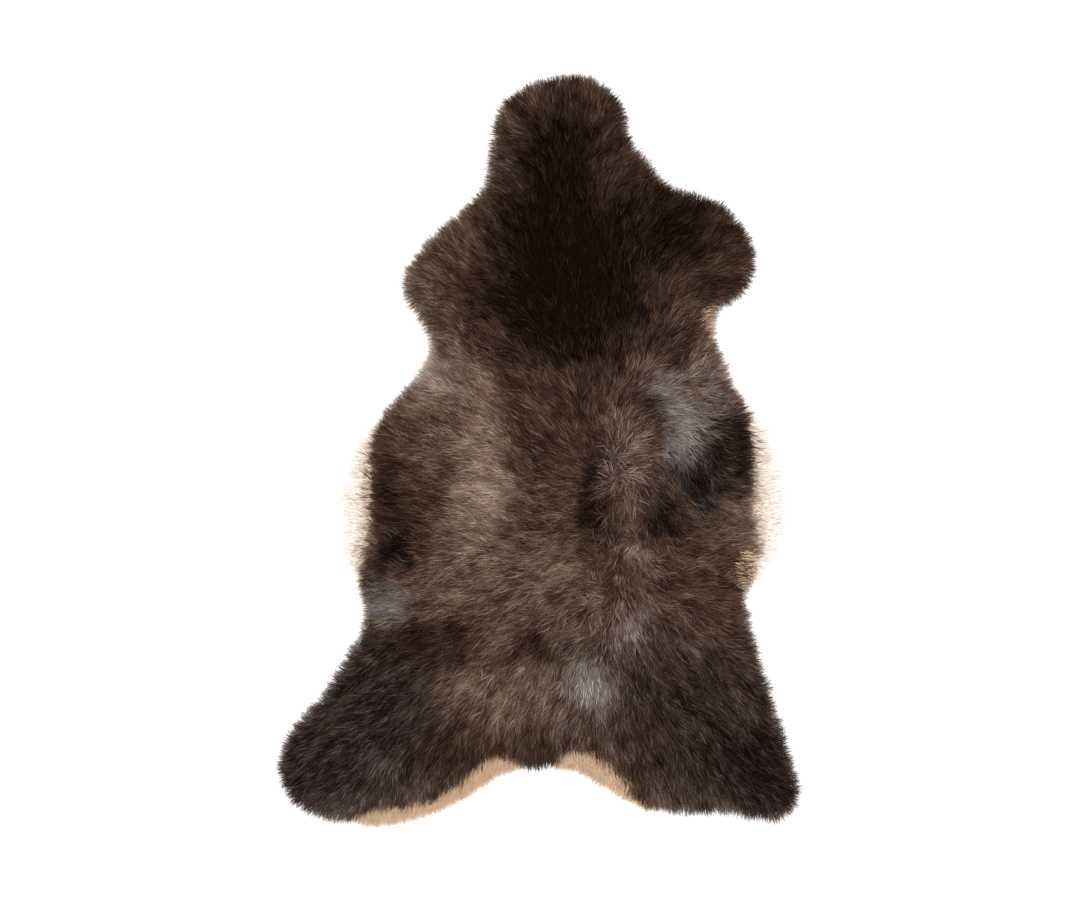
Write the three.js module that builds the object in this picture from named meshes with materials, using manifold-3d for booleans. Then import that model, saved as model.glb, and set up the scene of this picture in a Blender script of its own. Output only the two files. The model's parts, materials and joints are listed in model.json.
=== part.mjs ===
// A lambskin: one tanned skin with its combed wool on, lying flat with the wool up.
// Millimetres, +Z up, head end towards +Y. The skin side lies on z = 0, and the
// origin is under the middle of the whole outline.
import * as THREE from "three";
import { ImprovedNoise } from "three/addons/math/ImprovedNoise.js";
import { mergeVertices } from "three/addons/utils/BufferGeometryUtils.js";
import Module from "manifold-3d";

const { lerp, mapLinear, seededRandom, smoothstep } = THREE.MathUtils;

// Driving dimensions
const SKIN_THICKNESS = 2.5;
const BACK_PILE = 50; // height of the wool along the middle of the back
const BACK_LINE = { head: { x: 28, y: 310 }, tail: { x: 4, y: -262 } };

// Wool locks at the rim
const LOCK_COUNT = 180;
const LOCK_REACH = 12; // free length past the rim of the wool slab
const LOCK_ROOT = 12; // length sunk in the slab
const LOCK_RADIUS = 8; // at the root
const LOCK_SIDES = 3;
const LOCK_BENDS = 2;
const LOCK_BELLY = 1.5; // how much fuller a lock is halfway out than a straight cone
const LOCK_FLATNESS = 0.7; // thickness over width
const LOCK_LEVELS = [0.36, 0.54]; // root heights over the local pile, taken in turn
const LOCK_DROOP = 6; // how far a tip sinks under its own weight
const LOCK_LENGTHS = { least: 0.8, most: 1.2 }; // share of the free length
const LOCK_SWEEP = 0.3; // largest sideways lean, in radians

// Lumps where the wool gathers in staples and parts between them
const STAPLE_LUMPS = { pitch: 34, height: 7 };
const WAVE_LUMPS = { pitch: 120, height: 8 };
const RIM_LUMPS = { pitch: 46, depth: 5 };

// The wool's outline from the head end to the tail, one row for each pair of places.
// left and right are [x, y]. back is the place along the back line, as y, that the row's
// wool is combed out from. overhang is how far the wool stands out past the skin's cut
// edge, and pile is the wool's height beside that edge.
const PLACES = [
  { place: "head end", left: [33, 475], right: [33, 475], back: 310, overhang: 27, pile: 36 },
  { place: "crown", left: [-13, 459], right: [81, 462], back: 304, overhang: 27, pile: 36 },
  { place: "cheek", left: [-45, 443], right: [104, 437], back: 296, overhang: 26, pile: 36 },
  { place: "neck", left: [-61, 395], right: [114, 392], back: 286, overhang: 28, pile: 38 },
  { place: "nape", left: [-68, 341], right: [130, 374], back: 260, overhang: 30, pile: 40 },
  { place: "shoulder", left: [-86, 311], right: [167, 332], back: 236, overhang: 30, pile: 40 },
  { place: "foreleg top", left: [-121, 283], right: [215, 318], back: 218, overhang: 28, pile: 38 },
  { place: "foreleg round", left: [-159, 245], right: [253, 289], back: 206, overhang: 26, pile: 36 },
  { place: "foreleg tip", left: [-174, 211], right: [273, 243], back: 198, overhang: 26, pile: 35 },
  { place: "foreleg heel", left: [-167, 182], right: [260, 200], back: 190, overhang: 26, pile: 35 },
  { place: "armpit", left: [-144, 154], right: [226, 171], back: 176, overhang: 28, pile: 38 },
  { place: "waist", left: [-138, 123], right: [224, 131], back: 140, overhang: 30, pile: 40 },
  { place: "flank", left: [-172, 72], right: [251, 76], back: 84, overhang: 32, pile: 40 },
  { place: "belly front", left: [-226, 23], right: [286, 33], back: 34, overhang: 36, pile: 38 },
  { place: "belly", left: [-251, -28], right: [307, -20], back: -16, overhang: 40, pile: 36 },
  { place: "belly middle", left: [-256, -81], right: [315, -78], back: -66, overhang: 42, pile: 36 },
  { place: "belly back", left: [-244, -141], right: [299, -143], back: -116, overhang: 38, pile: 37 },
  { place: "groin", left: [-225, -192], right: [267, -177], back: -162, overhang: 32, pile: 39 },
  { place: "hip", left: [-220, -225], right: [264, -205], back: -188, overhang: 30, pile: 40 },
  { place: "thigh", left: [-243, -260], right: [278, -259], back: -206, overhang: 28, pile: 39 },
  { place: "shank", left: [-272, -308], right: [298, -322], back: -218, overhang: 26, pile: 37 },
  { place: "hock", left: [-308, -350], right: [315, -379], back: -226, overhang: 25, pile: 35 },
  { place: "toe", left: [-331, -390], right: [330, -442], back: -232, overhang: 24, pile: 33 },
  { place: "heel", left: [-317, -442], right: [307, -470], back: -238, overhang: 24, pile: 32 },
  { place: "outer sole", left: [-273, -467], right: [255, -461], back: -243, overhang: 24, pile: 32 },
  { place: "sole", left: [-206, -475], right: [195, -462], back: -247, overhang: 22, pile: 30 },
  { place: "inner sole", left: [-136, -461], right: [138, -456], back: -251, overhang: 20, pile: 28 },
  { place: "inner thigh", left: [-88, -436], right: [93, -433], back: -255, overhang: 19, pile: 26 },
  { place: "crotch side", left: [-42, -409], right: [53, -409], back: -259, overhang: 20, pile: 28 },
  { place: "crotch", left: [4, -403], right: [4, -403], back: -262, overhang: 22, pile: 30 },
];
const STEPS_A_ROW = 3; // outline steps from one row to the next

// Half a cross section, from the back line underneath, out round the rim and over to the
// back line on top. out is the share of the overhang past the cut edge, inward the share of
// the way from the cut edge to the back line, and height the share of the pile.
const CROWN_LINES = 8;
const CROWN_HEIGHTS = { edge: 0.93, back: 1 };
const SECTION = [
  { line: "back line below", out: 0, inward: 1, height: 0 },
  { line: "cut edge below", out: 0, inward: 0, height: 0 },
  { line: "cut edge above", out: 0, inward: 0, height: 0 },
  { line: "wool underside", out: 0.6, inward: 0, height: 0.12 },
  { line: "rim", out: 1, inward: 0, height: 0.36 },
  { line: "rim top", out: 0.82, inward: 0, height: 0.66 },
  { line: "wool over the cut edge", out: 0.3, inward: 0, height: 0.86 },
  ...Array.from({ length: CROWN_LINES }, (_, k) => {
    const inward = k / (CROWN_LINES - 1);
    const height = lerp(CROWN_HEIGHTS.edge, CROWN_HEIGHTS.back, inward);
    return { line: `crown ${k}`, out: 0, inward, height };
  }),
];
const SKIN_TOP_LINE = 2; // the first line of SECTION that lies on the skin's upper side

const LEAST_FACING = 0.55; // keeps insets short where the wool runs along the edge
const CROWN_EASE = 0.6; // share of the way in over which the pile grows to its full height

const noise = new ImprovedNoise();

// The outline runs from the head end down the left side and back up the right.
const lastRow = PLACES.length - 1;
const outlinePlaces = [
  ...PLACES.map((row) => row.left),
  ...PLACES.slice(1, lastRow).map((row) => row.right).reverse(),
];
const outline = new THREE.CatmullRomCurve3(
  outlinePlaces.map(([x, y]) => new THREE.Vector3(x, y, 0)),
  true,
  "catmullrom",
);

// The value of a column of PLACES at any point t of the outline.
function column(name, t) {
  const along = t * outlinePlaces.length;
  const row = along <= lastRow ? along : outlinePlaces.length - along;
  const before = Math.min(Math.floor(row), lastRow - 1);
  return lerp(PLACES[before][name], PLACES[before + 1][name], row - before);
}

function backLinePoint(y) {
  const { head, tail } = BACK_LINE;
  return new THREE.Vector3(mapLinear(y, tail.y, head.y, tail.x, head.x), y, 0);
}

// What the wool does at a point t of the outline: its tip line, the skin's cut edge, the rim
// of the wool slab, the back line that it runs in to, and the direction that it leans.
function edgeAt(t) {
  const tip = outline.getPoint(t);
  const back = backLinePoint(column("back", t));
  const inward = back.clone().sub(tip).normalize();
  const tangent = outline.getTangent(t);
  const outwardNormal = new THREE.Vector3(tangent.y, -tangent.x, 0);
  const stretch = 1 / Math.max(LEAST_FACING, -inward.dot(outwardNormal));
  const inset = (distance) => tip.clone().addScaledVector(inward, distance * stretch);
  return {
    cut: inset(column("overhang", t)),
    rim: inset(LOCK_REACH),
    back,
    pile: column("pile", t),
    lean: outwardNormal.clone().sub(inward).normalize(),
  };
}

function lumps({ pitch, height }, x, y) {
  return height * noise.noise(x / pitch, y / pitch, 0);
}

// One point of the wool slab, on a line of SECTION at a place of the edge.
function slabPoint(line, index, edge) {
  const uneven = 1 + (RIM_LUMPS.depth / LOCK_REACH) * noise.noise(
    edge.rim.x / RIM_LUMPS.pitch,
    edge.rim.y / RIM_LUMPS.pitch,
    line.height,
  );
  const point = edge.cut.clone().lerp(edge.rim, line.out * uneven);
  point.lerp(edge.back, line.inward);
  const pile = lerp(edge.pile, BACK_PILE, smoothstep(line.inward, 0, CROWN_EASE));
  const swell = lumps(STAPLE_LUMPS, point.x, point.y) + lumps(WAVE_LUMPS, point.x, point.y);
  const floor = index < SKIN_TOP_LINE ? 0 : SKIN_THICKNESS;
  point.z = floor + line.height * (pile - SKIN_THICKNESS + swell);
  return point;
}

// The skin with its wool as one closed slab: a lathe's rings, drawn out to the outline.
function slabGeometry() {
  const steps = outlinePlaces.length * STEPS_A_ROW;
  const profile = SECTION.map((line, index) => new THREE.Vector2(1 - line.inward, index));
  const geometry = new THREE.LatheGeometry(profile, steps);
  const position = geometry.getAttribute("position");
  for (let step = 0; step <= steps; step++) {
    const edge = edgeAt((step % steps) / steps);
    SECTION.forEach((line, index) => {
      const { x, y, z } = slabPoint(line, index, edge);
      position.setXYZ(step * SECTION.length + index, x, y, z);
    });
  }
  return geometry;
}

// One lock of wool at the rim: a flattened, full-bodied cone that droops at its tip.
function lockGeometry(index) {
  const t = outline.getUtoTmapping(index / LOCK_COUNT);
  const edge = edgeAt(t);
  const share = lerp(LOCK_LENGTHS.least, LOCK_LENGTHS.most, seededRandom(index));
  const length = LOCK_ROOT + LOCK_REACH * share;
  const geometry = new THREE.ConeGeometry(LOCK_RADIUS, length, LOCK_SIDES, LOCK_BENDS);
  const position = geometry.getAttribute("position");
  for (let i = 0; i < position.count; i++) {
    const offMiddle = Math.abs(position.getY(i)) / (length / 2);
    const fullness = lerp(LOCK_BELLY, 1, offMiddle);
    position.setXYZ(i, position.getX(i) * fullness, position.getY(i), position.getZ(i) * fullness);
  }
  geometry.translate(0, length / 2, 0).scale(1, 1, LOCK_FLATNESS);
  const sweep = LOCK_SWEEP * (2 * seededRandom(index + LOCK_COUNT) - 1);
  const up = new THREE.Vector3(0, 0, 1);
  const out = edge.lean.clone().applyAxisAngle(up, sweep);
  const side = out.clone().cross(up);
  const root = edge.rim.clone().addScaledVector(edge.lean, -LOCK_ROOT);
  root.z = edge.pile * LOCK_LEVELS[index % LOCK_LEVELS.length];
  for (let i = 0; i < position.count; i++) {
    position.setZ(i, position.getZ(i) - LOCK_DROOP * (position.getY(i) / length) ** 2);
  }
  return geometry.applyMatrix4(new THREE.Matrix4().makeBasis(side, out, up).setPosition(root));
}

// Solids for joining, from closed three.js geometry
const wasm = await Module();
wasm.setup();

function solidOf(geometry) {
  geometry.deleteAttribute("normal");
  geometry.deleteAttribute("uv");
  const merged = mergeVertices(geometry);
  return new wasm.Manifold(
    new wasm.Mesh({
      numProp: 3,
      vertProperties: merged.getAttribute("position").array,
      triVerts: new Uint32Array(merged.index.array),
    }),
  );
}

function geometryOf(solid) {
  const { vertProperties, triVerts } = solid.getMesh();
  const geometry = new THREE.BufferGeometry();
  geometry.setAttribute("position", new THREE.BufferAttribute(vertProperties, 3));
  geometry.setIndex(new THREE.BufferAttribute(triVerts, 1));
  geometry.computeVertexNormals();
  return geometry;
}

// The slab with its rim locks joined on, its outline centred over the origin.
function lambskinGeometry() {
  let joined = solidOf(slabGeometry());
  for (let index = 0; index < LOCK_COUNT; index++) {
    joined = joined.add(solidOf(lockGeometry(index)));
  }
  const geometry = geometryOf(joined);
  geometry.computeBoundingBox();
  const middle = geometry.boundingBox.getCenter(new THREE.Vector3());
  return geometry.translate(-middle.x, -middle.y, 0);
}

const wool = new THREE.MeshStandardMaterial({ color: 0x3b2d26, roughness: 0.95, metalness: 0 });
const lambskin = new THREE.Mesh(lambskinGeometry(), wool);
lambskin.name = "lambskin";

const part = new THREE.Group();
part.add(lambskin);
export default part;
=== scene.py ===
"""A dark brown lambskin laid flat with its wool up: hide, undercoat and combed fleece."""
import json
import math

import bmesh
import bpy
import numpy as np
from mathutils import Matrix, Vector, noise

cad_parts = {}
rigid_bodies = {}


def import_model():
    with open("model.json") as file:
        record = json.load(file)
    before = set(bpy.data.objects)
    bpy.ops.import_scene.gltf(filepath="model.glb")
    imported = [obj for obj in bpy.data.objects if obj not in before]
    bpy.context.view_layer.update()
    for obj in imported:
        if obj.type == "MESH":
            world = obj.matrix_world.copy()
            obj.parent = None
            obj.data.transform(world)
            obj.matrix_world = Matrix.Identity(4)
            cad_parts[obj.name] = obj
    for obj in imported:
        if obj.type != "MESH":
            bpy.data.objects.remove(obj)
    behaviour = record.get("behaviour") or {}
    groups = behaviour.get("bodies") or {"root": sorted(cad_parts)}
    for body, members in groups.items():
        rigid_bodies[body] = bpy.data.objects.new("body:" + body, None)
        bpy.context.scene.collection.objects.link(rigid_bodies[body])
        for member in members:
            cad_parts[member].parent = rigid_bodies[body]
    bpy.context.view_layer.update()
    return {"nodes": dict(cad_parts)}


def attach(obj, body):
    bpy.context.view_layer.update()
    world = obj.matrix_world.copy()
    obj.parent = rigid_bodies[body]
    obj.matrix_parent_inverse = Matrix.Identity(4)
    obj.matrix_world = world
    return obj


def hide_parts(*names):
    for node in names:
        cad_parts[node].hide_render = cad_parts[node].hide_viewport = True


bl_info = {
    "name": "Lambskin",
    "version": (1, 0, 0),
    "blender": (4, 5, 0),
    "location": "View3D > Sidebar > Lambskin",
    "description": "Builds the hide, the undercoat and the combed fleece of a lambskin",
    "category": "Add Mesh",
}

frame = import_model()
SOLID = "lambskin"
MM = 0.001
WELD_GAP = 0.01 * MM

# How much of the floor the frame covers, at the height of the rim.
FRAME_WIDTH_M = 1.3644
RIM_HEIGHT_M = 0.02

# The combing of the wool: place in mm, then the heading of the tips in degrees.
COMB_STROKES = (
    (38, 461, 90), (-51, 430, 125), (101, 442, 57), (-51, 379, 140), (-45, 350, 165),
    (96, 371, 45), (38, 316, 90), (-101, 253, 130), (38, 202, 90), (-164, 215, 170),
    (-114, 190, 150), (-25, 177, 140), (76, 152, 90), (202, 278, 40), (246, 240, 5),
    (-139, 88, 155), (-177, 63, 150), (-25, 63, 150), (-177, -88, 160), (-25, -88, 160),
    (25, 63, 130), (76, 63, 90), (-88, -63, 167), (-114, -101, 178), (101, 126, 90),
    (202, 101, 47), (227, 63, 25), (246, 13, 0), (246, -25, 0),
    # both sides of the parting
    (60, 13, 140), (95, 20, 75), (84, -14, 112), (52, -25, 158), (116, -28, -15), (56, -63, 170),
    (96, -60, -95), (60, -101, 180), (102, -98, -85), (70, -139, 186), (112, -158, -65),
    (76, -177, 192), (114, -185, -60), (128, 0, 12), (130, -55, -70), (150, -75, -45),
    (126, -105, -100),
    # grey curl
    (150, 68, 10), (158, 44, -5), (183, 32, -35), (190, 6, -65), (177, -19, -85), (203, -19, -60),
    (203, 62, 15),
    # swirl and loin
    (158, -142, 6), (145, -177, -20), (202, -139, 15), (253, -114, 0), (259, -190, 0),
    (190, -253, -45), (120, -240, -75), (51, -215, 207), (13, -152, 195), (25, -190, 205),
    (63, -284, -90), (-246, -139, 182), (-196, -190, 180), (-114, -164, 190), (-51, -190, 200),
    # haunches and legs
    (-152, -291, 218), (-51, -316, 228), (0, -316, 235), (-227, -316, 210), (-265, -392, 220),
    (-177, -442, 250), (202, -341, -50), (303, -417, -40), (139, -404, -75), (0, -366, -90),
)
STROKE_REACH = 18.0

# Patches of dark wool: place, half sizes, turn in degrees, tone and coolness, and strength.
DARK_PATCHES = (
    (38, 440, 80, 45, 0, 0.30, 0.0, 1.0),      # crown
    (-45, 375, 30, 55, 0, 0.32, 0.0, 1.0),     # left of the neck
    (95, 370, 30, 50, 0, 0.24, 0.0, 1.0),      # right of the neck
    (26, 345, 38, 85, -6, -0.08, 0.0, 1.2),    # middle of the neck
    (-30, 362, 18, 7, -15, 0.6, 0.5, 0.9),     # painted highlight on a fold left of the neck
    (-100, 255, 60, 40, 35, 0.38, 0.0, 1.0),   # left shoulder
    (150, 270, 50, 40, 0, -0.06, 0.0, 1.0),    # right shoulder
    (30, 222, 66, 66, 0, -0.14, 0.0, 1.5),     # dark upper back
    (46, 150, 56, 45, 0, -0.07, 0.0, 1.2),     # dark middle of the back
    (-160, 215, 30, 40, 0, 0.65, 0.0, 1.0),    # left foreleg
    (235, 235, 40, 50, 0, 0.22, 0.0, 1.0),     # right foreleg
    (-132, 95, 30, 40, 30, 1.02, 0.2, 1.0),    # light left waist
    (-150, 25, 45, 50, 0, 0.55, 0.0, 1.0),     # left flank
    (-74, 0, 22, 80, -6, 0.82, 0.0, 1.0),      # taupe band: taupe wool, partly painted sheen
    (-57, -38, 16, 46, 0, 1.0, 0.0, 1.3),      # light middle of the taupe band: taupe wool with painted sheen
    (-68, -90, 26, 55, 0, 0.78, 0.0, 1.0),     # lower end of the taupe band: taupe wool with painted sheen
    (-182, -40, 36, 66, 0, 0.13, 0.0, 1.0),    # dark edge of the left flank
    (25, 38, 40, 60, 0, 0.33, 0.0, 1.0),       # middle of the back
    (75, -62, 8, 62, -5, 0.0, 0.0, 1.4),       # parting
    (108, -20, 22, 50, 0, 0.66, 0.1, 1.0),     # right of the parting
    (150, 122, 26, 26, 0, 0.26, 0.0, 1.2),     # above the curl
    (124, 45, 13, 50, 0, 0.30, 0.0, 1.0),      # left of the curl
    (148, -76, 14, 22, 25, 0.10, 0.1, 1.8),    # painted shade in the hollow of the swirl
    (124, -126, 12, 11, 0, 1.1, 0.2, 1.8),     # painted highlight on the tip of the swirl
    (14, -240, 18, 14, -35, 0.14, 0.1, 1.4),   # dark fold over the rump
    (112, -215, 24, 11, 55, 0.9, 0.5, 1.2),    # light fold over the rump
    (166, 38, 20, 52, 20, 0.95, 1.0, 1.2),     # grey curl: grey wool with painted sheen
    (188, -22, 18, 26, 20, -0.12, 0.5, 1.4),   # below the curl
    (240, 0, 26, 40, 0, 0.05, 0.2, 1.2),       # dark right flank
    (200, 76, 40, 36, 0, 0.69, 0.3, 1.0),      # right waist
    (196, 140, 26, 26, 0, 0.60, 0.0, 1.0),     # right armpit
    (250, -88, 30, 30, 0, 0.72, 0.0, 1.0),     # right belly
    (205, -165, 45, 40, 0, 0.39, 0.0, 1.0),    # right groin
    (114, -139, 40, 45, 0, 0.49, 0.0, 1.0),    # swirl
    (25, -164, 50, 40, 0, 0.65, 0.0, 1.0),     # loin
    (-88, -175, 45, 35, 0, 0.57, 0.0, 1.0),    # left of the loin
    (-172, -133, 18, 12, 0, -0.17, 0.1, 1.5),  # dark spot on the left flank
    (-178, -194, 24, 18, 0, 0.77, 1.0, 1.2),   # grey spot at the left groin
    (-138, -240, 55, 30, 0, 0.13, 0.0, 1.0),   # upper left haunch
    (-200, -305, 60, 50, 0, 0.10, 0.5, 1.2),   # left haunch
    (-265, -390, 60, 45, 0, 0.08, 0.6, 1.2),   # left leg
    (-50, -305, 45, 45, 0, 0.66, 0.0, 1.0),    # left of the rump
    (-95, -362, 38, 30, 0, 0.20, 0.0, 0.9),    # over the left of the crotch
    (25, -316, 30, 40, 0, 0.63, 0.1, 1.0),     # rump
    (62, -286, 18, 22, 0, 1.02, 1.0, 1.5),     # grey rump
    (177, -303, 60, 55, 0, 0.20, 0.2, 1.0),    # right haunch
    (265, -392, 60, 50, 0, 0.02, 0.4, 1.2),    # right leg
    (200, -430, 60, 22, 0, 0.43, 0.2, 1.0),    # right sole
    (-190, -430, 60, 22, 0, 0.38, 0.3, 1.0),   # left sole
    (2, -372, 18, 36, 0, 0.18, 0.0, 1.8),      # tail
)
BASE_TONE = 0.40
BASE_SHARE = 0.05
LIGHT_TONE = 0.8
DARKEST_TONE = -0.2

# How far, in mm, soft noise moves the edges of the patches: its reaches, each with its share.
DARK_SWAY = 13.0
PALE_SWAY = 4.0
WANDER_REACHES = ((45.0, 1.0), (17.0, 0.6))

# Patches of pale wool: place, half sizes, turn, tone from tan 0 to cream 1, length and share.
PALE_PATCHES = (
    (258, -160, 22, 38, 0, 0.30, 1.0, 0.42),   # right groin
    (216, 160, 20, 32, 0, 0.22, 1.0, 0.4),     # right armpit
    (-234, -163, 16, 30, 0, 0.25, 1.0, 0.55),  # left groin
)

# Strips of pale wool along the rim: tone and length, then the place and half width of each joint.
PALE_STRIPS = (
    # left belly
    (0.97, 1.1, (
        (-206, 30, 11), (-232, 10, 24), (-249, -25, 38), (-257, -63, 46), (-253, -101, 41),
        (-245, -133, 26), (-236, -152, 15),
    )),
    # right belly
    (1.0, 1.1, (
        (264, 54, 11), (290, 16, 27), (306, -25, 39), (310, -63, 44), (306, -101, 38),
        (293, -139, 25), (280, -160, 17),
    )),
    # left of the crotch
    (0.19, 0.6, (
        (-245, -479, 15), (-195, -475, 30), (-163, -471, 29), (-124, -456, 22), (-83, -433, 24),
        (-51, -402, 24),
    )),
    # right of the crotch
    (0.19, 0.6, (
        (50, -401, 31), (82, -424, 25), (114, -448, 17), (145, -462, 14), (202, -470, 11),
        (260, -474, 8),
    )),
)

# Ruffled patches: place, half sizes, turn in degrees, and how far the tufts turn there.
RUFFLED_PATCHES = (
    (80, -105, 18, 105, -5, 7.0),  # parting
    (86, -9, 18, 18, 0, 8.0),      # whorl at the top of the parting
    (94, -50, 40, 70, 0, 4.0),     # right of the parting
    (115, -110, 60, 60, 0, 3.6),   # swirl
    (175, 25, 40, 45, 0, 2.6),     # grey curl
    (60, -230, 60, 40, 0, 2.2),    # over the rump
    (-185, -140, 40, 40, 0, 2.4),  # dark spot on the left flank
)

# Soft edges of the pale patches and strips, in half sizes from their middle.
PALE_EDGE = (0.88, 1.08)
TAN_EDGE = (0.62, 1.0)
PILE_EDGE = (0.9, 1.18)
BESIDE_EDGE = (1.0, 1.6)
TAN_SHARE = 0.5
LEAST_BESIDE = 0.4
LEAST_PILE = 0.4

# The rim, where the undercoat turns down, and the dark wool beside the pale wool.
RIM_SLOPES = (0.55, 0.95)
BARE_SLOPE = -0.7
RIM_TONE = 0.25
BESIDE_TONE = 0.45
INNER_PILE = 0.25
BESIDE_CROP = 0.6
RIM_THINNER = 0.2
PALE_THINNER = 0.25
CROPPED_PUSH = 22 * MM

# One random draw for each use, in the order of their seeds.
DRAWS = (
    "roots", "tufts", "tuft turn", "strand turn", "lift", "tuft length", "strand length",
    "girth", "sway", "pale", "cool", "stray", "tuft tone", "fringe",
)
SEED = 11

# How the strands differ: least and most of each random share.
TUFT_TURN = (-0.8, 0.8)
STRAND_TURN = (-0.5, 0.5)
TUFT_LIFT = (0.2, 1.8)
TUFT_LENGTH = (0.86, 1.14)
STRAND_LENGTH = (0.72, 1.18)
FRINGE_LENGTH = (-0.4, 0.3)
STRAND_GIRTH = (0.7, 1.25)
STRAND_SWAY = (-0.25, 0.25)
# Tufts darken at random: partly their own tone, partly painted shade between the locks.
TUFT_TONE_AND_SHADE = (-0.24, -0.02)
WHOLE = (0.0, 1.0)

# Soft fields over the wool: scale and strength, and for streaks first the step along the combing.
TURN_CLOUDS = ((26.0, 3.0), (90.0, 2.0))
TONE_STREAKS = ((6 * MM, 85.0, 0.26), (12 * MM, 38.0, 0.16))
STREAK_STEPS = (-2, -1, 0, 1, 2)
CLOUD_DETAIL = 2.0

# Light strays among the strands, painted highlights on single strands, and how far tones swing in
# dark and in pale wool.
HIGHLIGHT_STRAY_POWER = 3.0
HIGHLIGHT_STRAY_TONE = 0.5
LEAST_SWING = 0.55
PALE_SWING = 0.5

# The strands' shape, and their palette map: bands of wool kinds, with room at each edge.
BAND_NAMES = ("fleece_head", "fleece_shoulders", "fleece_back", "fleece_loin", "fleece_haunches")
STRAND_SIDES = 3
STRAND_BENDS = 2
SUNK_SHARE = 0.22
CROWDING = 4.0
NEARLY_UP = (0.03, 0.02, 1.0)
FLOOR_GAP = 0.6 * MM
FAR = 9.0
WOOL_KINDS = 3
TONE_MARGIN = 0.03
ROOT_MARGIN = 0.04
STRAND_TONE_WIDTH = 0.004
# At the rim the roots' darkening, partly painted shade, is eased by this share.
RIM_ROOT_SHADE_EASE = 0.5

# Where the palettes' middle colours stand, and shades of the wool below its tips: darker roots,
# partly the wool's own lighter tips and partly painted shade deep in the fleece.
BROWN_STOP = 0.36
PEACH_STOP = 0.6
ROOT_TINT_AND_PAINTED_SHADE = ((0.0, 0.40), (0.5, 0.65), (1.0, 1.0))
PALE_ROOT_TINT_AND_PAINTED_SHADE = ((0.0, 0.9), (1.0, 1.0))
# Painted shade on the undercoat, which lies deep among the strands.
UNDERCOAT_PAINTED_SHADE = 0.42

# Fine noise in the undercoat and on the skin side: scale, detail and roughness of each.
FIBRE_NOISE = (900.0, 3.0, 0.6)
MOTTLE_NOISE = (14.0, 4.0, 0.55)
NAP_NOISE = (700.0, 4.0, 0.6)
FLECK_TONE = 0.24
NAP_SHARE = 0.35
DARK_SUEDE = 0.66
SUEDE_STOPS = (0.3, 0.72)

# The stage: a wide floor just under the hide, and a lamp over the head end, tipped inwards.
FLOOR_SIZE_M = 30.0
FLOOR_DROP = 0.2 * MM
LAMP_SIZE_M = 1.6
LAMP_PLACE_M = (0.0, 0.4, 2.6)
LAMP_TILT = math.radians(-9)


def plain_colour(red, green, blue):
    """The linear colour of a screen colour given from 0 to 255."""
    return tuple(
        c / 12.92 if c <= 0.04045 else ((c + 0.055) / 1.055) ** 2.4
        for c in (red / 255, green / 255, blue / 255)
    )


def length_prop(name, description, default, least, most):
    """A length in metres that a user can change."""
    return bpy.props.FloatProperty(
        name=name, description=description, default=default, min=least, max=most,
        unit="LENGTH", precision=4,
    )


def share_prop(name, description, default, most=1.0):
    """A plain share or factor that a user can change."""
    return bpy.props.FloatProperty(
        name=name, description=description, default=default, min=0.0, max=most,
        subtype="FACTOR" if most == 1.0 else "NONE",
    )


def colour_prop(name, description, red, green, blue):
    """A colour that a user can change, given as it shows on a screen."""
    return bpy.props.FloatVectorProperty(
        name=name, description=description, default=plain_colour(red, green, blue),
        min=0.0, max=1.0, subtype="COLOR", size=3,
    )


class LambskinHide(bpy.types.PropertyGroup):
    """Sizes of the tanned skin."""
    thickness: length_prop("Thickness", "How thick the tanned skin is", 2.4 * MM, 1 * MM, 6 * MM)
    margin: length_prop("Margin", "How far the wool hides the cut edge", 9 * MM, 0, 30 * MM)
    round_off: length_prop("Rounding", "Rounding of the cut edge", 0.7 * MM, 0.2 * MM, 2 * MM)
    suede: colour_prop("Suede", "Colour of the skin side", 214, 190, 160)


class LambskinWool(bpy.types.PropertyGroup):
    """Sizes of the undercoat and of the strands of wool."""
    rise: length_prop("Rise", "How far strands stand over the undercoat", 15 * MM, 2 * MM, 40 * MM)
    inset: length_prop("Inset", "How far the undercoat's rim lies inside", 1.5 * MM, 0, 30 * MM)
    grain: length_prop("Grain", "Edge length of the undercoat's faces", 6 * MM, 3 * MM, 20 * MM)
    spacing: length_prop("Spacing", "Least gap between two roots", 1.28 * MM, 1 * MM, 10 * MM)
    length: length_prop("Length", "Length of a strand over the undercoat", 24 * MM, 5 * MM, 90 * MM)
    radius: length_prop("Radius", "Radius of a strand at its belly", 0.62 * MM, 0.2 * MM, 4 * MM)
    tuft: length_prop("Tuft", "Least gap between two tufts", 7 * MM, 2 * MM, 40 * MM)
    pull: share_prop("Pull", "How far the tips of a tuft draw together", 0.25)
    lean: share_prop("Lean", "How far the roots lean with the combing", 1.0, 4.0)
    lift: share_prop("Lift", "How far the tips stand off the surface", 0.4, 4.0)
    ruffle: bpy.props.FloatProperty(
        name="Ruffle", description="How far a tuft turns from the combing", default=0.3,
        min=0.0, max=3.0, subtype="ANGLE",
    )


class LambskinColours(bpy.types.PropertyGroup):
    """Colours of the wool, at the tips of its strands."""
    espresso: colour_prop("Espresso", "Darkest brown wool", 8, 3, 2)
    brown: colour_prop("Brown", "Middle brown wool", 82, 59, 47)
    taupe: colour_prop("Taupe", "Light brown wool", 150, 126, 110)
    # Oat serves the lightest brown wool and the painted highlights of the light strays.
    oat_and_highlight: colour_prop("Oat", "Lightest brown wool", 190, 172, 153)
    soot: colour_prop("Soot", "Darkest cool wool", 13, 8, 9)
    slate: colour_prop("Slate", "Light cool wool", 148, 136, 134)
    silver: colour_prop("Silver", "Lightest cool wool", 207, 199, 196)
    tan: colour_prop("Tan", "Darkest pale wool", 188, 150, 108)
    peach: colour_prop("Peach", "Pale wool between tan and cream", 226, 210, 194)
    cream: colour_prop("Cream", "Lightest pale wool", 246, 241, 238)


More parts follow.
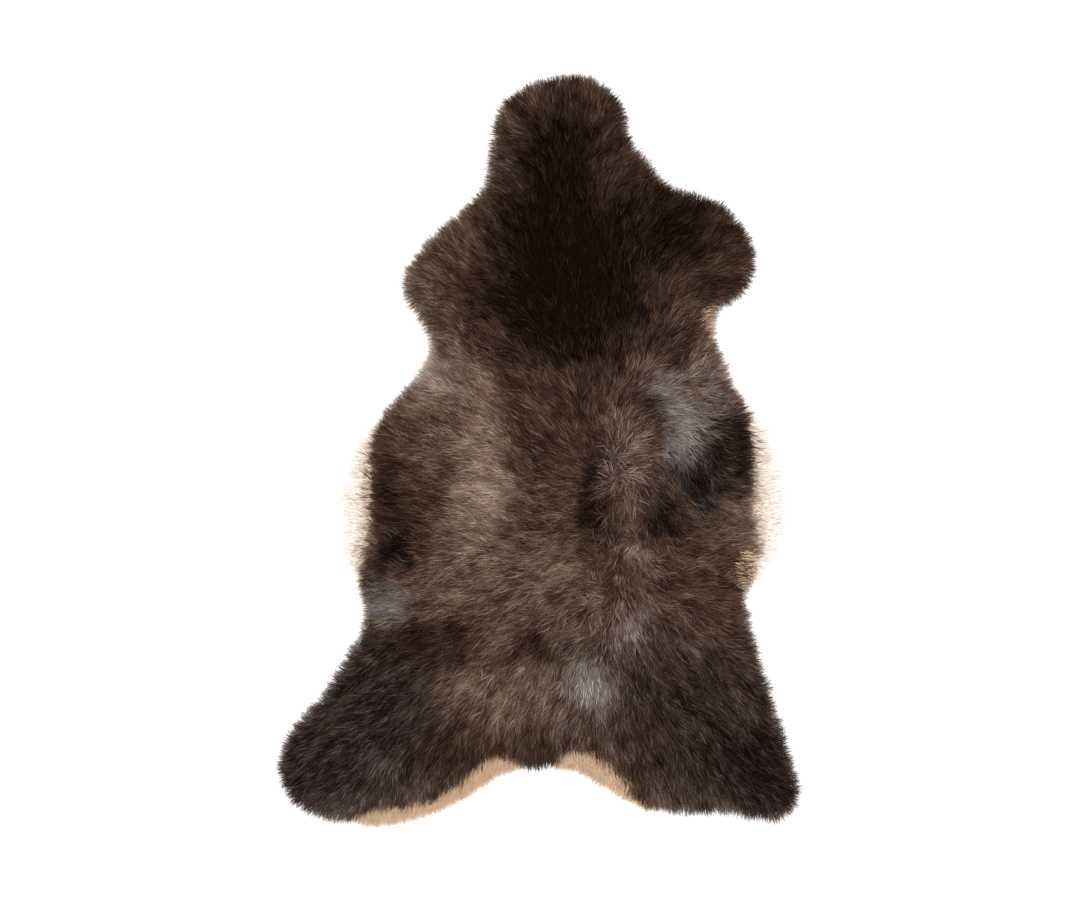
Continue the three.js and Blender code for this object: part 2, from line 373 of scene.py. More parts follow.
class LambskinStage(bpy.types.PropertyGroup):
    """The floor, the light and the camera."""
    floor: colour_prop("Floor", "Colour of the floor", 243, 243, 243)
    daylight: share_prop("Daylight", "Strength of the light from all round", 1.45, 10.0)
    lamp: bpy.props.FloatProperty(
        name="Lamp", description="Power of the large soft lamp", default=90.0, min=0.0, max=1000.0,
        unit="POWER",
    )
    height: length_prop("Height", "Height of the camera over the floor", 3.0, 1.5, 20.0)


class LambskinSettings(bpy.types.PropertyGroup):
    """All that a user can change."""
    hide: bpy.props.PointerProperty(type=LambskinHide)
    wool: bpy.props.PointerProperty(type=LambskinWool)
    colours: bpy.props.PointerProperty(type=LambskinColours)
    stage: bpy.props.PointerProperty(type=LambskinStage)


class Nodes:
    """A node tree under construction, where each input is a socket to link or a value to set."""

    def __init__(self, tree):
        self.tree = tree

    def add(self, kind, *inputs, **settings):
        """Adds a node with its settings, and feeds its shown inputs in order; None leaves one."""
        node = self.tree.nodes.new(kind)
        for name, value in settings.items():
            setattr(node, name, value)
        shown = [socket for socket in node.inputs if socket.enabled]
        for socket, value in zip(shown, inputs):
            self.feed(socket, value)
        return node

    def feed(self, socket, value):
        """Links a socket, or sets its value."""
        if isinstance(value, bpy.types.NodeSocket):
            self.tree.links.new(value, socket)
        elif value is not None:
            socket.default_value = value

    def get(self, kind, *inputs, **settings):
        """Adds a node and gives its first shown output."""
        node = self.add(kind, *inputs, **settings)
        return next(socket for socket in node.outputs if socket.enabled)

    def math(self, operation, *inputs, clamp=False):
        """A sum on numbers."""
        return self.get("ShaderNodeMath", *inputs, operation=operation, use_clamp=clamp)

    def vector(self, operation, *inputs):
        """A sum on vectors."""
        return self.get("ShaderNodeVectorMath", *inputs, operation=operation)

    def scale(self, vector, factor):
        """A vector times a number."""
        return self.vector("SCALE", vector, factor)

    def mix(self, kind, factor, low, high):
        """A mix of two values of a kind."""
        return self.get("ShaderNodeMix", factor, low, high, data_type=kind)


class Strands(Nodes):
    """The geometry node tree that grows the strands on the undercoat."""

    INPUTS = (
        ("From", "NodeSocketFloat"), ("To", "NodeSocketFloat"), ("Spacing", "NodeSocketFloat"),
        ("Length", "NodeSocketFloat"), ("Radius", "NodeSocketFloat"), ("Tuft", "NodeSocketFloat"),
        ("Pull", "NodeSocketFloat"), ("Lean", "NodeSocketFloat"), ("Lift", "NodeSocketFloat"),
        ("Ruffle", "NodeSocketFloat"), ("Seed", "NodeSocketInt"), ("Wool", "NodeSocketMaterial"),
    )

    def __init__(self):
        super().__init__(bpy.data.node_groups.new("fleece strands", "GeometryNodeTree"))
        face = self.tree.interface
        face.new_socket("Undercoat", in_out="INPUT", socket_type="NodeSocketGeometry")
        self.ids = {
            name: face.new_socket(name, in_out="INPUT", socket_type=kind).identifier
            for name, kind in self.INPUTS
        }
        face.new_socket("Fleece", in_out="OUTPUT", socket_type="NodeSocketGeometry")
        self.given = self.add("NodeGroupInput").outputs
        self.build()

    def named(self, name, kind="FLOAT"):
        """An attribute read by name."""
        return self.get("GeometryNodeInputNamedAttribute", name, data_type=kind)

    def store(self, geometry, name, value, kind="FLOAT", domain="POINT"):
        """The geometry with an attribute written on it."""
        return self.get(
            "GeometryNodeStoreNamedAttribute", geometry, None, name, value,
            data_type=kind, domain=domain,
        )

    def seed(self, draw):
        """The seed of a random draw."""
        return self.math("ADD", self.given["Seed"], DRAWS.index(draw))

    def random(self, draw, limits, identity=None):
        """A random number for each point, or for each identity."""
        return self.get(
            "FunctionNodeRandomValue", *limits, identity, self.seed(draw), data_type="FLOAT",
        )

    def cloud(self, place, scale):
        """A soft random field about zero."""
        field = self.get("ShaderNodeTexNoise", place, scale, CLOUD_DETAIL)
        return self.math("SUBTRACT", field, 0.5)

    def streaks(self, place, comb, step, scale):
        """A soft random field about zero, drawn out along the combing."""
        total = 0.0
        for count in STREAK_STEPS:
            spot = self.vector("ADD", place, self.scale(comb, count * step))
            total = self.math("ADD", self.cloud(spot, scale), total)
        return total

    def scatter(self, draw, spacing):
        """Points on the part of the undercoat that grows wool, with the surface's normal."""
        grows = self.get(
            "FunctionNodeCompare", self.named("grows"), 0.5, data_type="FLOAT",
            operation="GREATER_THAN",
        )
        crowd = self.math("DIVIDE", CROWDING, self.math("MULTIPLY", spacing, spacing))
        node = self.add(
            "GeometryNodeDistributePointsOnFaces", self.given["Undercoat"], grows, spacing,
            crowd, 1.0, self.seed(draw), distribute_method="POISSON",
        )
        return node.outputs["Points"], node.outputs["Normal"]

    def build(self):
        """Roots, tufts, bent strands, palette map and material."""
        given = self.given
        roots, normal = self.scatter("roots", given["Spacing"])
        roots = self.store(roots, "up", normal, "FLOAT_VECTOR")
        place = self.get("GeometryNodeInputPosition")
        along_back = self.add("ShaderNodeSeparateXYZ", place).outputs["Y"]
        below = self.get(
            "FunctionNodeCompare", along_back, given["From"], data_type="FLOAT",
            operation="LESS_THAN",
        )
        above = self.get(
            "FunctionNodeCompare", along_back, given["To"], data_type="FLOAT",
            operation="GREATER_EQUAL",
        )
        outside = self.get("FunctionNodeBooleanMath", below, above, operation="OR")
        roots = self.get("GeometryNodeDeleteGeometry", roots, outside, domain="POINT")
        tufts, _ = self.scatter("tufts", given["Tuft"])
        tuft = self.get("GeometryNodeSampleNearest", tufts, place, domain="POINT")
        centre = self.get(
            "GeometryNodeSampleIndex", tufts, place, tuft, data_type="FLOAT_VECTOR",
            domain="POINT",
        )
        up = self.named("up", "FLOAT_VECTOR")
        ruffle = self.math("MULTIPLY", given["Ruffle"], self.named("unrest"))
        turn = self.random("tuft turn", TUFT_TURN, tuft)
        turn = self.math("ADD", turn, self.random("strand turn", STRAND_TURN))
        for scale, strength in TURN_CLOUDS:
            turn = self.math("MULTIPLY_ADD", self.cloud(place, scale), strength, turn)
        turn = self.math("MULTIPLY", turn, ruffle)
        comb = self.get(
            "ShaderNodeVectorRotate", self.named("comb", "FLOAT_VECTOR"), (0, 0, 0), turn,
            rotation_type="Z_AXIS",
        )
        start = self.vector("NORMALIZE", self.vector("ADD", up, self.scale(comb, given["Lean"])))
        lift = self.math("MULTIPLY", given["Lift"], self.random("lift", TUFT_LIFT, tuft))
        end = self.vector("NORMALIZE", self.vector("ADD", comb, self.scale(up, lift)))
        length = self.math("MULTIPLY", given["Length"], self.named("pile"))
        length = self.math("MULTIPLY", length, self.random("tuft length", TUFT_LENGTH, tuft))
        length = self.math("MULTIPLY", length, self.random("strand length", STRAND_LENGTH))
        fringe = self.random("fringe", FRINGE_LENGTH)
        fringe = self.math("MULTIPLY", self.named("rim"), fringe)
        length = self.math("MULTIPLY_ADD", fringe, length, length)
        side = self.vector("NORMALIZE", self.vector("CROSS_PRODUCT", end, NEARLY_UP))
        thick = self.vector("NORMALIZE", self.vector("CROSS_PRODUCT", side, end))
        radius = self.math("MULTIPLY", given["Radius"], self.random("girth", STRAND_GIRTH))
        radius = self.math("MULTIPLY", radius, self.named("girth"))
        sunk = self.scale(start, self.math("MULTIPLY", length, SUNK_SHARE))
        inner = self.math("SUBTRACT", 1.0, self.named("rim"))
        pull = self.math("MULTIPLY", given["Pull"], inner)
        gather = self.scale(self.vector("SUBTRACT", centre, place), pull)
        sway = self.math("MULTIPLY", self.random("sway", STRAND_SWAY), length)
        gather = self.vector("ADD", gather, self.scale(side, sway))

        pale = self.math("LESS_THAN", self.random("pale", WHOLE), self.named("pale"))
        cool = self.math("LESS_THAN", self.random("cool", WHOLE), self.named("cool"))
        kind = self.math("MAXIMUM", cool, self.math("MULTIPLY", pale, 2.0))
        tone = self.mix("FLOAT", pale, self.named("tone"), self.named("paleness"))
        # Light strays: a few strands lifted in tone as painted highlights.
        stray = self.math("POWER", self.random("stray", WHOLE), HIGHLIGHT_STRAY_POWER)
        # Each tuft darkens by a random share: partly its own tone, partly painted shade between the
        # locks.
        tuft_tone_and_shade = self.random("tuft tone", TUFT_TONE_AND_SHADE, tuft)
        stray = self.math("MULTIPLY_ADD", stray, HIGHLIGHT_STRAY_TONE, tuft_tone_and_shade)
        combed = self.named("comb", "FLOAT_VECTOR")
        for step, scale, strength in TONE_STREAKS:
            streaks = self.streaks(place, combed, step, scale)
            stray = self.math("MULTIPLY_ADD", streaks, strength, stray)
        swing = self.math("ADD", tone, LEAST_SWING, clamp=True)
        swing = self.math("MULTIPLY", swing, self.mix("FLOAT", pale, 1.0, PALE_SWING))
        tone = self.math("MULTIPLY_ADD", stray, swing, tone, clamp=True)
        for name, value, data in (
            ("root", self.vector("SUBTRACT", place, sunk), "FLOAT_VECTOR"),
            ("start", self.scale(start, length), "FLOAT_VECTOR"),
            ("end", self.scale(end, length), "FLOAT_VECTOR"),
            ("gather", gather, "FLOAT_VECTOR"),
            ("side", self.scale(side, radius), "FLOAT_VECTOR"),
            ("thick", self.scale(thick, radius), "FLOAT_VECTOR"),
            ("kind", kind, "FLOAT"),
            ("shade", tone, "FLOAT"),
        ):
            roots = self.store(roots, name, value, data)

        spindle = self.get("GeometryNodeMeshUVSphere", STRAND_SIDES, STRAND_BENDS, 1.0)
        spindle = self.store(spindle, "local", place, "FLOAT_VECTOR")
        strands = self.get("GeometryNodeInstanceOnPoints", roots, None, spindle)
        strands = self.get("GeometryNodeRealizeInstances", strands)

        local = self.add("ShaderNodeSeparateXYZ", self.named("local", "FLOAT_VECTOR")).outputs
        t = self.math("MULTIPLY_ADD", local["Z"], 0.5, 0.5)
        t_squared = self.math("MULTIPLY", t, t)
        start_v = self.named("start", "FLOAT_VECTOR")
        end_v = self.named("end", "FLOAT_VECTOR")
        change = self.vector("SUBTRACT", end_v, start_v)
        bend = self.scale(change, self.math("MULTIPLY", t_squared, 0.5))
        spot = self.vector("ADD", self.named("root", "FLOAT_VECTOR"), self.scale(start_v, t))
        spot = self.vector("ADD", spot, bend)
        gathered = self.scale(self.named("gather", "FLOAT_VECTOR"), t_squared)
        spot = self.vector("ADD", spot, gathered)
        for axis, name in (("X", "side"), ("Y", "thick")):
            reach = self.scale(self.named(name, "FLOAT_VECTOR"), local[axis])
            spot = self.vector("ADD", spot, reach)
        spot = self.vector("MAXIMUM", spot, (-FAR, -FAR, FLOOR_GAP))
        strands = self.get("GeometryNodeSetPosition", strands, None, spot)

        u = self.math("MULTIPLY_ADD", self.named("shade"), 1 - 2 * TONE_MARGIN, TONE_MARGIN)
        u = self.math("MULTIPLY_ADD", local["X"], STRAND_TONE_WIDTH, u)
        # At the rim the roots' darkening, partly painted shade, is eased.
        root_shade_ease = self.math("MULTIPLY", self.named("rim"), RIM_ROOT_SHADE_EASE)
        v = self.math("MULTIPLY_ADD", root_shade_ease, self.math("SUBTRACT", 1.0, t), t)
        v = self.math("MULTIPLY_ADD", v, 1 - 2 * ROOT_MARGIN, ROOT_MARGIN)
        v = self.math("DIVIDE", self.math("ADD", self.named("kind"), v), float(WOOL_KINDS))
        palette = self.get("ShaderNodeCombineXYZ", u, v, 0.0)
        strands = self.store(strands, "OFBake", palette, "FLOAT2", "CORNER")
        strands = self.get("GeometryNodeSetShadeSmooth", strands, None, True)
        strands = self.get("GeometryNodeRealizeInstances", strands)
        strands = self.get("GeometryNodeSetMaterial", strands, None, given["Wool"])
        self.add("NodeGroupOutput", strands)


def smooth_step(low, high, value):
    """0 below low, 1 above high, and a soft step between."""
    t = np.clip((value - low) / (high - low), 0, 1)
    return t * t * (3 - 2 * t)


def patch_distance(x, y, patch):
    """How many half sizes each place lies from the middle of a turned patch."""
    middle_x, middle_y, half_x, half_y, turn = patch[:5]
    c, s = math.cos(math.radians(turn)), math.sin(math.radians(turn))
    across = (x - middle_x) * c + (y - middle_y) * s
    along = (y - middle_y) * c - (x - middle_x) * s
    return np.hypot(across / half_x, along / half_y)


def combing(x, y):
    """Which way the wool is combed at each place, as unit vectors on the floor."""
    heading = np.zeros((len(x), 2))
    for stroke_x, stroke_y, degrees in COMB_STROKES:
        near = 1 / ((x - stroke_x) ** 2 + (y - stroke_y) ** 2 + STROKE_REACH ** 2) ** 2
        angle = math.radians(degrees)
        heading += near[:, None] * (math.cos(angle), math.sin(angle))
    return heading / np.maximum(np.linalg.norm(heading, axis=1), 1e-12)[:, None]


def strip_distance(x, y, strip):
    """How many half widths each place lies from the middle line of a strip."""
    nearest = np.full(len(x), FAR)
    for (x0, y0, half0), (x1, y1, half1) in zip(strip, strip[1:]):
        run_x, run_y = x1 - x0, y1 - y0
        t = ((x - x0) * run_x + (y - y0) * run_y) / (run_x ** 2 + run_y ** 2)
        t = np.clip(t, 0, 1)
        away = np.hypot(x - x0 - t * run_x, y - y0 - t * run_y)
        nearest = np.minimum(nearest, away / (half0 + t * (half1 - half0)))
    return nearest


def wandered(x, y, sway):
    """The places moved about by soft noise, so that patches get uneven edges."""
    noise.seed_set(SEED)
    spots = np.column_stack((x, y, np.zeros(len(x))))
    moves = np.zeros((len(x), 3))
    for reach, share in WANDER_REACHES:
        drift = [noise.noise_vector(Vector(spot)) for spot in spots / reach]
        moves += share * np.array(drift)
    return x + sway * moves[:, 0], y + sway * moves[:, 1]


def dark_wool(x, y):
    """Tone and coolness of the dark wool at each place."""
    x, y = wandered(x, y, DARK_SWAY)
    weight = np.full(len(x), BASE_SHARE)
    tone = BASE_TONE * weight
    cool = np.zeros(len(x))
    for patch in DARK_PATCHES:
        *_, patch_tone, patch_cool, strength = patch
        near = strength / (1 + patch_distance(x, y, patch) ** 2) ** 3
        weight += near
        tone += near * patch_tone
        cool += near * patch_cool
    tone = np.clip(LIGHT_TONE * tone / weight, DARKEST_TONE, 1)
    return tone, np.clip(cool / weight, 0, 1)


def pale_wool(x, y):
    """Share, tone and length of the pale wool at each place, and how near a place is to it."""
    share, paleness, pile, beside = np.zeros((4, len(x)))
    stray_x, stray_y = wandered(x, y, PALE_SWAY)
    spots = [
        (patch_distance(stray_x, stray_y, patch), patch_distance(x, y, patch), *patch[5:])
        for patch in PALE_PATCHES
    ]
    spots += [
        (
            strip_distance(stray_x, stray_y, joints), strip_distance(x, y, joints),
            tone, length, 1.0,
        )
        for tone, length, joints in PALE_STRIPS
    ]
    for stray, away, tone, length, most in spots:
        inside = most * (1 - smooth_step(*PALE_EDGE, stray))
        tanned = tone * (1 - TAN_SHARE * smooth_step(*TAN_EDGE, stray))
        paleness = np.where(inside > share, tanned, paleness)
        share = np.maximum(share, inside)
        near = most * max(tone, LEAST_BESIDE) * (1 - smooth_step(*BESIDE_EDGE, stray))
        beside = np.maximum(beside, near)
        pile += (length - 1) * (1 - smooth_step(*PILE_EDGE, away))
    return share, paleness, np.maximum(1 + pile, LEAST_PILE), beside


def unrest(x, y):
    """How ruffled the tufts are at each place, 1 where they lie as combed."""
    most = np.ones(len(x))
    for patch in RUFFLED_PATCHES:
        near = np.exp(-patch_distance(x, y, patch) ** 2)
        most = np.maximum(most, 1 + (patch[-1] - 1) * near)
    return most


def new_object(name, mesh):
    """An object for a mesh, in the scene."""
    made = bpy.data.objects.new(name, mesh)
    bpy.context.scene.collection.objects.link(made)
    return made


def applied(made):
    """The object with its modifiers turned into plain mesh."""
    graph = bpy.context.evaluated_depsgraph_get()
    mesh = bpy.data.meshes.new_from_object(made.evaluated_get(graph), depsgraph=graph)
    made.modifiers.clear()
    made.data = mesh
    return made


def welded_solid():
    """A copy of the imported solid's mesh, with its loose triangles joined."""
    work = bmesh.new()
    work.from_mesh(frame["nodes"][SOLID].data)
    bmesh.ops.remove_doubles(work, verts=work.verts, dist=WELD_GAP)
    return work


def write(mesh, name, kind, values):
    """Writes a value for each vertex."""
    attribute = mesh.attributes.new(name, kind, "POINT")
    field = "vector" if kind == "FLOAT_VECTOR" else "value"
    attribute.data.foreach_set(field, np.asarray(values, np.float32).ravel())


def new_material(name):
    """A material with a node tree, its shader and its nodes."""
    material = bpy.data.materials.new(name)
    material.use_nodes = True
    shader = material.node_tree.nodes["Principled BSDF"]
    return material, shader, Nodes(material.node_tree)


def ramp(nodes, factor, stops):
    """A colour ramp through stops of place and colour."""
    node = nodes.add("ShaderNodeValToRGB", factor)
    elements = node.color_ramp.elements
    while len(elements) < len(stops):
        elements.new(0.5)
    for element, (place, colour) in zip(elements, stops):
        element.position = place
        element.color = (*colour[:3], 1.0)
    return node.outputs["Color"]


def palettes(nodes, tone, colours):
    """The three kinds of wool at a tone: brown, cool and pale."""
    return (
        ramp(nodes, tone, (
            (0.0, colours.espresso), (BROWN_STOP, colours.brown), (LIGHT_TONE, colours.taupe),
            (1.0, colours.oat_and_highlight),
        )),
        ramp(nodes, tone, (
            (0.0, colours.soot), (LIGHT_TONE, colours.slate), (1.0, colours.silver),
        )),
        ramp(nodes, tone, ((0.0, colours.tan), (PEACH_STOP, colours.peach), (1.0, colours.cream))),
    )


def shades(nodes, factor, stops):
    """A ramp of grey shades to darken a colour by."""
    return ramp(nodes, factor, [(place, (shade,) * 3) for place, shade in stops])


def darkened(nodes, colour, shade):
    """A colour times a shade."""
    return nodes.get(
        "ShaderNodeMix", 1.0, colour, shade, data_type="RGBA", blend_type="MULTIPLY",
    )


def strand_material(colours):
    """Wool whose tone runs across its palette map, and root to tip up each band of it, with darker
    roots: partly its own colour, partly painted shade.
    """
    material, shader, nodes = new_material("wool_strands")
    palette = nodes.get("ShaderNodeUVMap", uv_map="OFBake")
    place = nodes.add("ShaderNodeSeparateXYZ", palette).outputs
    bands = nodes.math("MULTIPLY", place["Y"], float(WOOL_KINDS))
    along = nodes.math("FRACT", bands)
    brown, cool, pale = palettes(nodes, place["X"], colours)
    is_cool = nodes.math("GREATER_THAN", bands, 1.0)
    is_pale = nodes.math("GREATER_THAN", bands, 2.0)
    colour = nodes.mix("RGBA", is_cool, brown, cool)
    colour = nodes.mix("RGBA", is_pale, colour, pale)
    # Darker roots: partly the wool's own lighter tips, partly painted shade deep among the strands.
    dark_root_tint_and_shade = shades(nodes, along, ROOT_TINT_AND_PAINTED_SHADE)
    pale_root_tint_and_shade = shades(nodes, along, PALE_ROOT_TINT_AND_PAINTED_SHADE)
    shade = nodes.mix("RGBA", is_pale, dark_root_tint_and_shade, pale_root_tint_and_shade)
    nodes.feed(shader.inputs["Base Color"], darkened(nodes, colour, shade))
    shader.inputs["Roughness"].default_value = 0.62
    shader.inputs["Specular IOR Level"].default_value = 0.0
    return material


def undercoat_material(colours):
    """Short dense wool between the strands, darker than their tips by painted shade."""
    material, shader, nodes = new_material("wool_undercoat")
    read = {
        name: nodes.add("ShaderNodeAttribute", attribute_name=name).outputs["Fac"]
        for name in ("tone", "cool", "pale", "paleness")
    }
    spot = nodes.add("ShaderNodeTexCoord").outputs["Object"]
    fibre = nodes.get("ShaderNodeTexNoise", spot, *FIBRE_NOISE)
    fleck = nodes.math("MULTIPLY_ADD", fibre, FLECK_TONE, -FLECK_TONE / 2)
    tone = nodes.math("ADD", read["tone"], fleck, clamp=True)
    brown, cool, _ = palettes(nodes, tone, colours)
    colour = nodes.mix("RGBA", read["cool"], brown, cool)
    # Painted shade: the undercoat is darkened as wool deep among the strands.
    colour = darkened(nodes, colour, (*(UNDERCOAT_PAINTED_SHADE,) * 3, 1.0))
    paleness = nodes.math("ADD", read["paleness"], fleck, clamp=True)
    _, _, pale = palettes(nodes, paleness, colours)
    colour = nodes.mix("RGBA", read["pale"], colour, pale)
    nodes.feed(shader.inputs["Base Color"], colour)
    bump = nodes.add("ShaderNodeBump", 0.6, 1.5 * MM)
    nodes.feed(bump.inputs["Height"], fibre)
    nodes.feed(shader.inputs["Normal"], bump.outputs["Normal"])
    shader.inputs["Roughness"].default_value = 0.9
    shader.inputs["Specular IOR Level"].default_value = 0.1
    return material


def suede_material(colour):
    """The tanned skin side: mottled, with a fine nap."""
    material, shader, nodes = new_material("suede")
    spot = nodes.add("ShaderNodeTexCoord").outputs["Object"]
    clouds = nodes.get("ShaderNodeTexNoise", spot, *MOTTLE_NOISE)
    nap = nodes.get("ShaderNodeTexNoise", spot, *NAP_NOISE)
    clouds = nodes.math("MULTIPLY", clouds, 1 - NAP_SHARE)
    mottle = nodes.math("MULTIPLY_ADD", nap, NAP_SHARE, clouds)
    dark = tuple(c * DARK_SUEDE for c in colour)
    shade = ramp(nodes, mottle, list(zip(SUEDE_STOPS, (dark, tuple(colour)))))
    nodes.feed(shader.inputs["Base Color"], shade)
    nodes.feed(shader.inputs["Roughness"], nodes.math("MULTIPLY_ADD", nap, 0.2, 0.75))
    bump = nodes.add("ShaderNodeBump", 0.5, 0.4 * MM)
    nodes.feed(bump.inputs["Height"], nap)
    nodes.feed(shader.inputs["Normal"], bump.outputs["Normal"])
    shader.inputs["Specular IOR Level"].default_value = 0.15
    return material


class LAMBSKIN_OT_hide(bpy.types.Operator):
    """Cuts the tanned skin to the flat underside of the solid"""
    bl_idname = "lambskin.hide"
    bl_label = "Hide"

    def execute(self, context):
        settings = context.scene.lambskin.hide
        work = welded_solid()
        upper = [f for f in work.faces if max(v.co.z for v in f.verts) > WELD_GAP]
        bmesh.ops.delete(work, geom=upper, context="FACES")
        bmesh.ops.dissolve_faces(work, faces=work.faces)
        if len(work.faces) != 1:
            raise RuntimeError("the solid's underside isn't one flat face")
        underside = next(iter(work.faces))
        underside.normal_update()
        if underside.normal.z > 0:
            underside.normal_flip()
        for loop, inward in [(c, c.calc_tangent()) for c in underside.loops]:
            loop.vert.co += inward * settings.margin
        bmesh.ops.triangulate(work, faces=work.faces)
        mesh = bpy.data.meshes.new("hide")
        work.to_mesh(mesh)
        work.free()
        hide = new_object("hide", mesh)
        shell = hide.modifiers.new("thickness", "SOLIDIFY")
        shell.thickness = settings.thickness
        shell.offset = -1.0
        soft = hide.modifiers.new("cut edge", "BEVEL")
        soft.width = settings.round_off
        soft.segments = 2
        soft.limit_method = "ANGLE"
        soft.angle_limit = math.radians(60)
        applied(hide)
        hide.data.materials.append(suede_material(settings.suede))
        return {"FINISHED"}


class LAMBSKIN_OT_undercoat(bpy.types.Operator):
    """Makes the soft mass of short wool that the strands grow from"""
    bl_idname = "lambskin.undercoat"
    bl_label = "Undercoat"

    def execute(self, context):
        wool = context.scene.lambskin.wool
        floor = context.scene.lambskin.hide.thickness
        work = welded_solid()
        mesh = bpy.data.meshes.new("undercoat")
        work.to_mesh(mesh)
        work.free()
        undercoat = new_object("undercoat", mesh)
        grid = undercoat.modifiers.new("grain", "REMESH")
        grid.mode = "VOXEL"
        grid.voxel_size = wool.grain
        ease = undercoat.modifiers.new("ease", "SMOOTH")
        ease.factor = 0.5
        ease.iterations = 8
        applied(undercoat)
        mesh = undercoat.data
        mesh.update()
        count = len(mesh.vertices)
        place, normal = np.zeros(count * 3, np.float32), np.zeros(count * 3, np.float32)
        mesh.vertices.foreach_get("co", place)
        mesh.vertex_normals.foreach_get("vector", normal)
        place, normal = place.reshape(-1, 3).astype(float), normal.reshape(-1, 3).astype(float)
        top = place[:, 2].max()
        pile = pale_wool(place[:, 0] / MM, place[:, 1] / MM)[2]
        inset = wool.inset - CROPPED_PUSH * np.maximum(1 - pile, 0)
        place[:, :2] -= normal[:, :2] * inset[:, None]
        place[:, 2] = np.maximum(place[:, 2] * (top - wool.rise) / top, floor)
        mesh.vertices.foreach_set("co", place.astype(np.float32).ravel())
        mesh.update()

        x, y = place[:, 0] / MM, place[:, 1] / MM
        tone, cool = dark_wool(x, y)
        pale, paleness, pile, beside = pale_wool(x, y)
        comb = combing(x, y)
        outward = np.linalg.norm(normal[:, :2], axis=1)
        rim = smooth_step(*RIM_SLOPES, outward)
        comb = comb * (1 - rim[:, None]) + normal[:, :2] * rim[:, None]
        comb /= np.maximum(np.linalg.norm(comb, axis=1), 1e-9)[:, None]
        write(mesh, "comb", "FLOAT_VECTOR", np.column_stack((comb, np.zeros(count))))
        write(mesh, "rim", "FLOAT", rim)
        write(mesh, "tone", "FLOAT", tone + RIM_TONE * rim + BESIDE_TONE * beside ** 2)
        write(mesh, "cool", "FLOAT", cool)
        write(mesh, "pale", "FLOAT", pale)
        write(mesh, "paleness", "FLOAT", paleness)
        pile *= 1 + INNER_PILE - INNER_PILE * rim
        pile *= 1 - BESIDE_CROP * beside * (1 - pale ** 2)
        write(mesh, "pile", "FLOAT", pile)
        write(mesh, "unrest", "FLOAT", unrest(x, y))
        write(mesh, "girth", "FLOAT", (1 - RIM_THINNER * rim) * (1 - PALE_THINNER * pale))
        grows = (normal[:, 2] > BARE_SLOPE) & (place[:, 2] > floor + 1 * MM)
        write(mesh, "grows", "FLOAT", grows)
        mesh.materials.append(undercoat_material(context.scene.lambskin.colours))
        return {"FINISHED"}


class LAMBSKIN_OT_fleece(bpy.types.Operator):
    """Grows the combed strands of wool, in five bands from head to haunches"""
    bl_idname = "lambskin.fleece"
    bl_label = "Fleece"

    HELPERS = (
        "comb", "rim", "tone", "cool", "pale", "paleness", "pile", "unrest", "girth", "grows",
        "up", "root", "start", "end", "gather", "side", "thick", "kind", "shade", "local",
    )

    def execute(self, context):
        wool = context.scene.lambskin.wool
        material = strand_material(context.scene.lambskin.colours)
        undercoat = bpy.data.objects["undercoat"]
        strands = Strands()
        limits = self.bands(undercoat.data)
        for name, low, high in zip(BAND_NAMES, limits[1:], limits[:-1]):
            fleece = new_object(name, undercoat.data.copy())
            grow = fleece.modifiers.new("strands", "NODES")
            grow.node_group = strands.tree
            for title, value in (
                ("From", low), ("To", high), ("Spacing", wool.spacing), ("Length", wool.length),
                ("Radius", wool.radius), ("Tuft", wool.tuft), ("Pull", wool.pull),
                ("Lean", wool.lean), ("Lift", wool.lift), ("Ruffle", wool.ruffle),
                ("Seed", SEED), ("Wool", material),
            ):
                grow[strands.ids[title]] = value
            applied(fleece)
            mesh = fleece.data
            for attribute in [a.name for a in mesh.attributes if a.name in self.HELPERS]:
                mesh.attributes.remove(mesh.attributes[attribute])
            if not mesh.uv_layers.get("OFBake"):
                raise RuntimeError(f"{name} has no palette map")
        return {"FINISHED"}

    @staticmethod
    def bands(mesh):
        """Limits along the back, head first, that share the growing surface out evenly."""
        grows = np.zeros(len(mesh.vertices), np.float32)
        mesh.attributes["grows"].data.foreach_get("value", grows)
        faces = [f for f in mesh.polygons if all(grows[v] > 0.5 for v in f.vertices)]
        places = np.array([f.center.y for f in faces])
        order = np.argsort(-places)
        shared = np.cumsum(np.array([f.area for f in faces])[order])
        steps = np.linspace(0, shared[-1], len(BAND_NAMES) + 1)[1:-1]
        cuts = places[order][np.searchsorted(shared, steps)]
        return [FAR, *(float(cut) for cut in cuts), -FAR]


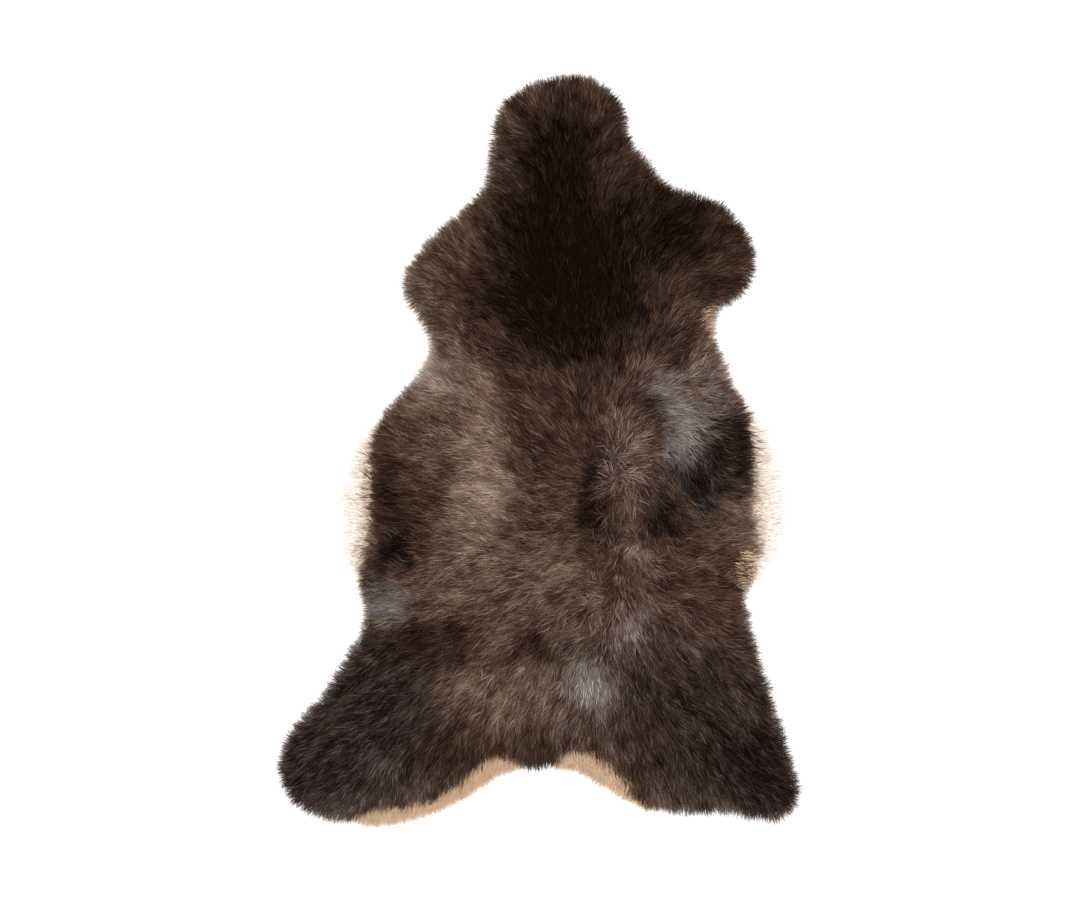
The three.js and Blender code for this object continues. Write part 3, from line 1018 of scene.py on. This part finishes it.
class LAMBSKIN_OT_stage(bpy.types.Operator):
    """Sets up the pale floor, the soft light and the camera over the middle"""
    bl_idname = "lambskin.stage"
    bl_label = "Stage"

    def execute(self, context):
        stage = context.scene.lambskin.stage
        bpy.ops.mesh.primitive_plane_add(size=FLOOR_SIZE_M, location=(0, 0, -FLOOR_DROP))
        floor = context.object
        floor.name = "floor"
        material, shader, _ = new_material("pale_floor")
        shader.inputs["Base Color"].default_value = (*stage.floor, 1.0)
        shader.inputs["Roughness"].default_value = 0.95
        shader.inputs["Specular IOR Level"].default_value = 0.0
        floor.data.materials.append(material)

        world = bpy.data.worlds.new("studio")
        world.use_nodes = True
        world.node_tree.nodes["Background"].inputs["Color"].default_value = (1, 1, 1, 1)
        world.node_tree.nodes["Background"].inputs["Strength"].default_value = stage.daylight
        context.scene.world = world
        lamp = bpy.data.lights.new("soft lamp", "AREA")
        lamp.energy = stage.lamp
        lamp.size = LAMP_SIZE_M
        holder = bpy.data.objects.new("soft lamp", lamp)
        holder.location = LAMP_PLACE_M
        holder.rotation_euler = (LAMP_TILT, 0, 0)
        context.scene.collection.objects.link(holder)

        lens = bpy.data.cameras.new("camera")
        lens.sensor_width = 36.0
        lens.lens = lens.sensor_width * (stage.height - RIM_HEIGHT_M) / FRAME_WIDTH_M
        camera = bpy.data.objects.new("camera", lens)
        camera.location = (0, 0, stage.height)
        context.scene.collection.objects.link(camera)
        context.scene.camera = camera
        context.scene.view_settings.view_transform = "Standard"
        return {"FINISHED"}


class LAMBSKIN_PT_panel(bpy.types.Panel):
    """The lambskin's settings and its steps"""
    bl_label = "Lambskin"
    bl_idname = "LAMBSKIN_PT_panel"
    bl_space_type = "VIEW_3D"
    bl_region_type = "UI"
    bl_category = "Lambskin"

    def draw(self, context):
        settings = context.scene.lambskin
        for group in (settings.hide, settings.wool, settings.colours, settings.stage):
            box = self.layout.box()
            for name in group.bl_rna.properties.keys():
                if name not in ("rna_type", "name"):
                    box.prop(group, name)
        for step in STEPS:
            self.layout.operator(step.bl_idname)


STEPS = (LAMBSKIN_OT_hide, LAMBSKIN_OT_undercoat, LAMBSKIN_OT_fleece, LAMBSKIN_OT_stage)
CLASSES = (
    LambskinHide, LambskinWool, LambskinColours, LambskinStage, LambskinSettings,
    *STEPS, LAMBSKIN_PT_panel,
)


def register():
    """Adds the classes and the scene's settings."""
    for item in CLASSES:
        bpy.utils.register_class(item)
    bpy.types.Scene.lambskin = bpy.props.PointerProperty(type=LambskinSettings)


def unregister():
    """Takes the settings and the classes away."""
    del bpy.types.Scene.lambskin
    for item in reversed(CLASSES):
        bpy.utils.unregister_class(item)


def main():
    """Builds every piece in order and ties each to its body."""
    register()
    bpy.ops.lambskin.hide()
    bpy.ops.lambskin.undercoat()
    bpy.ops.lambskin.fleece()
    bpy.ops.lambskin.stage()
    hide = bpy.data.objects["hide"]
    wool = [bpy.data.objects[name] for name in ("undercoat", *BAND_NAMES)]
    for piece in (hide, *wool):
        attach(piece, "root")
        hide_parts(SOLID)


if __name__ == "__main__":
    main()
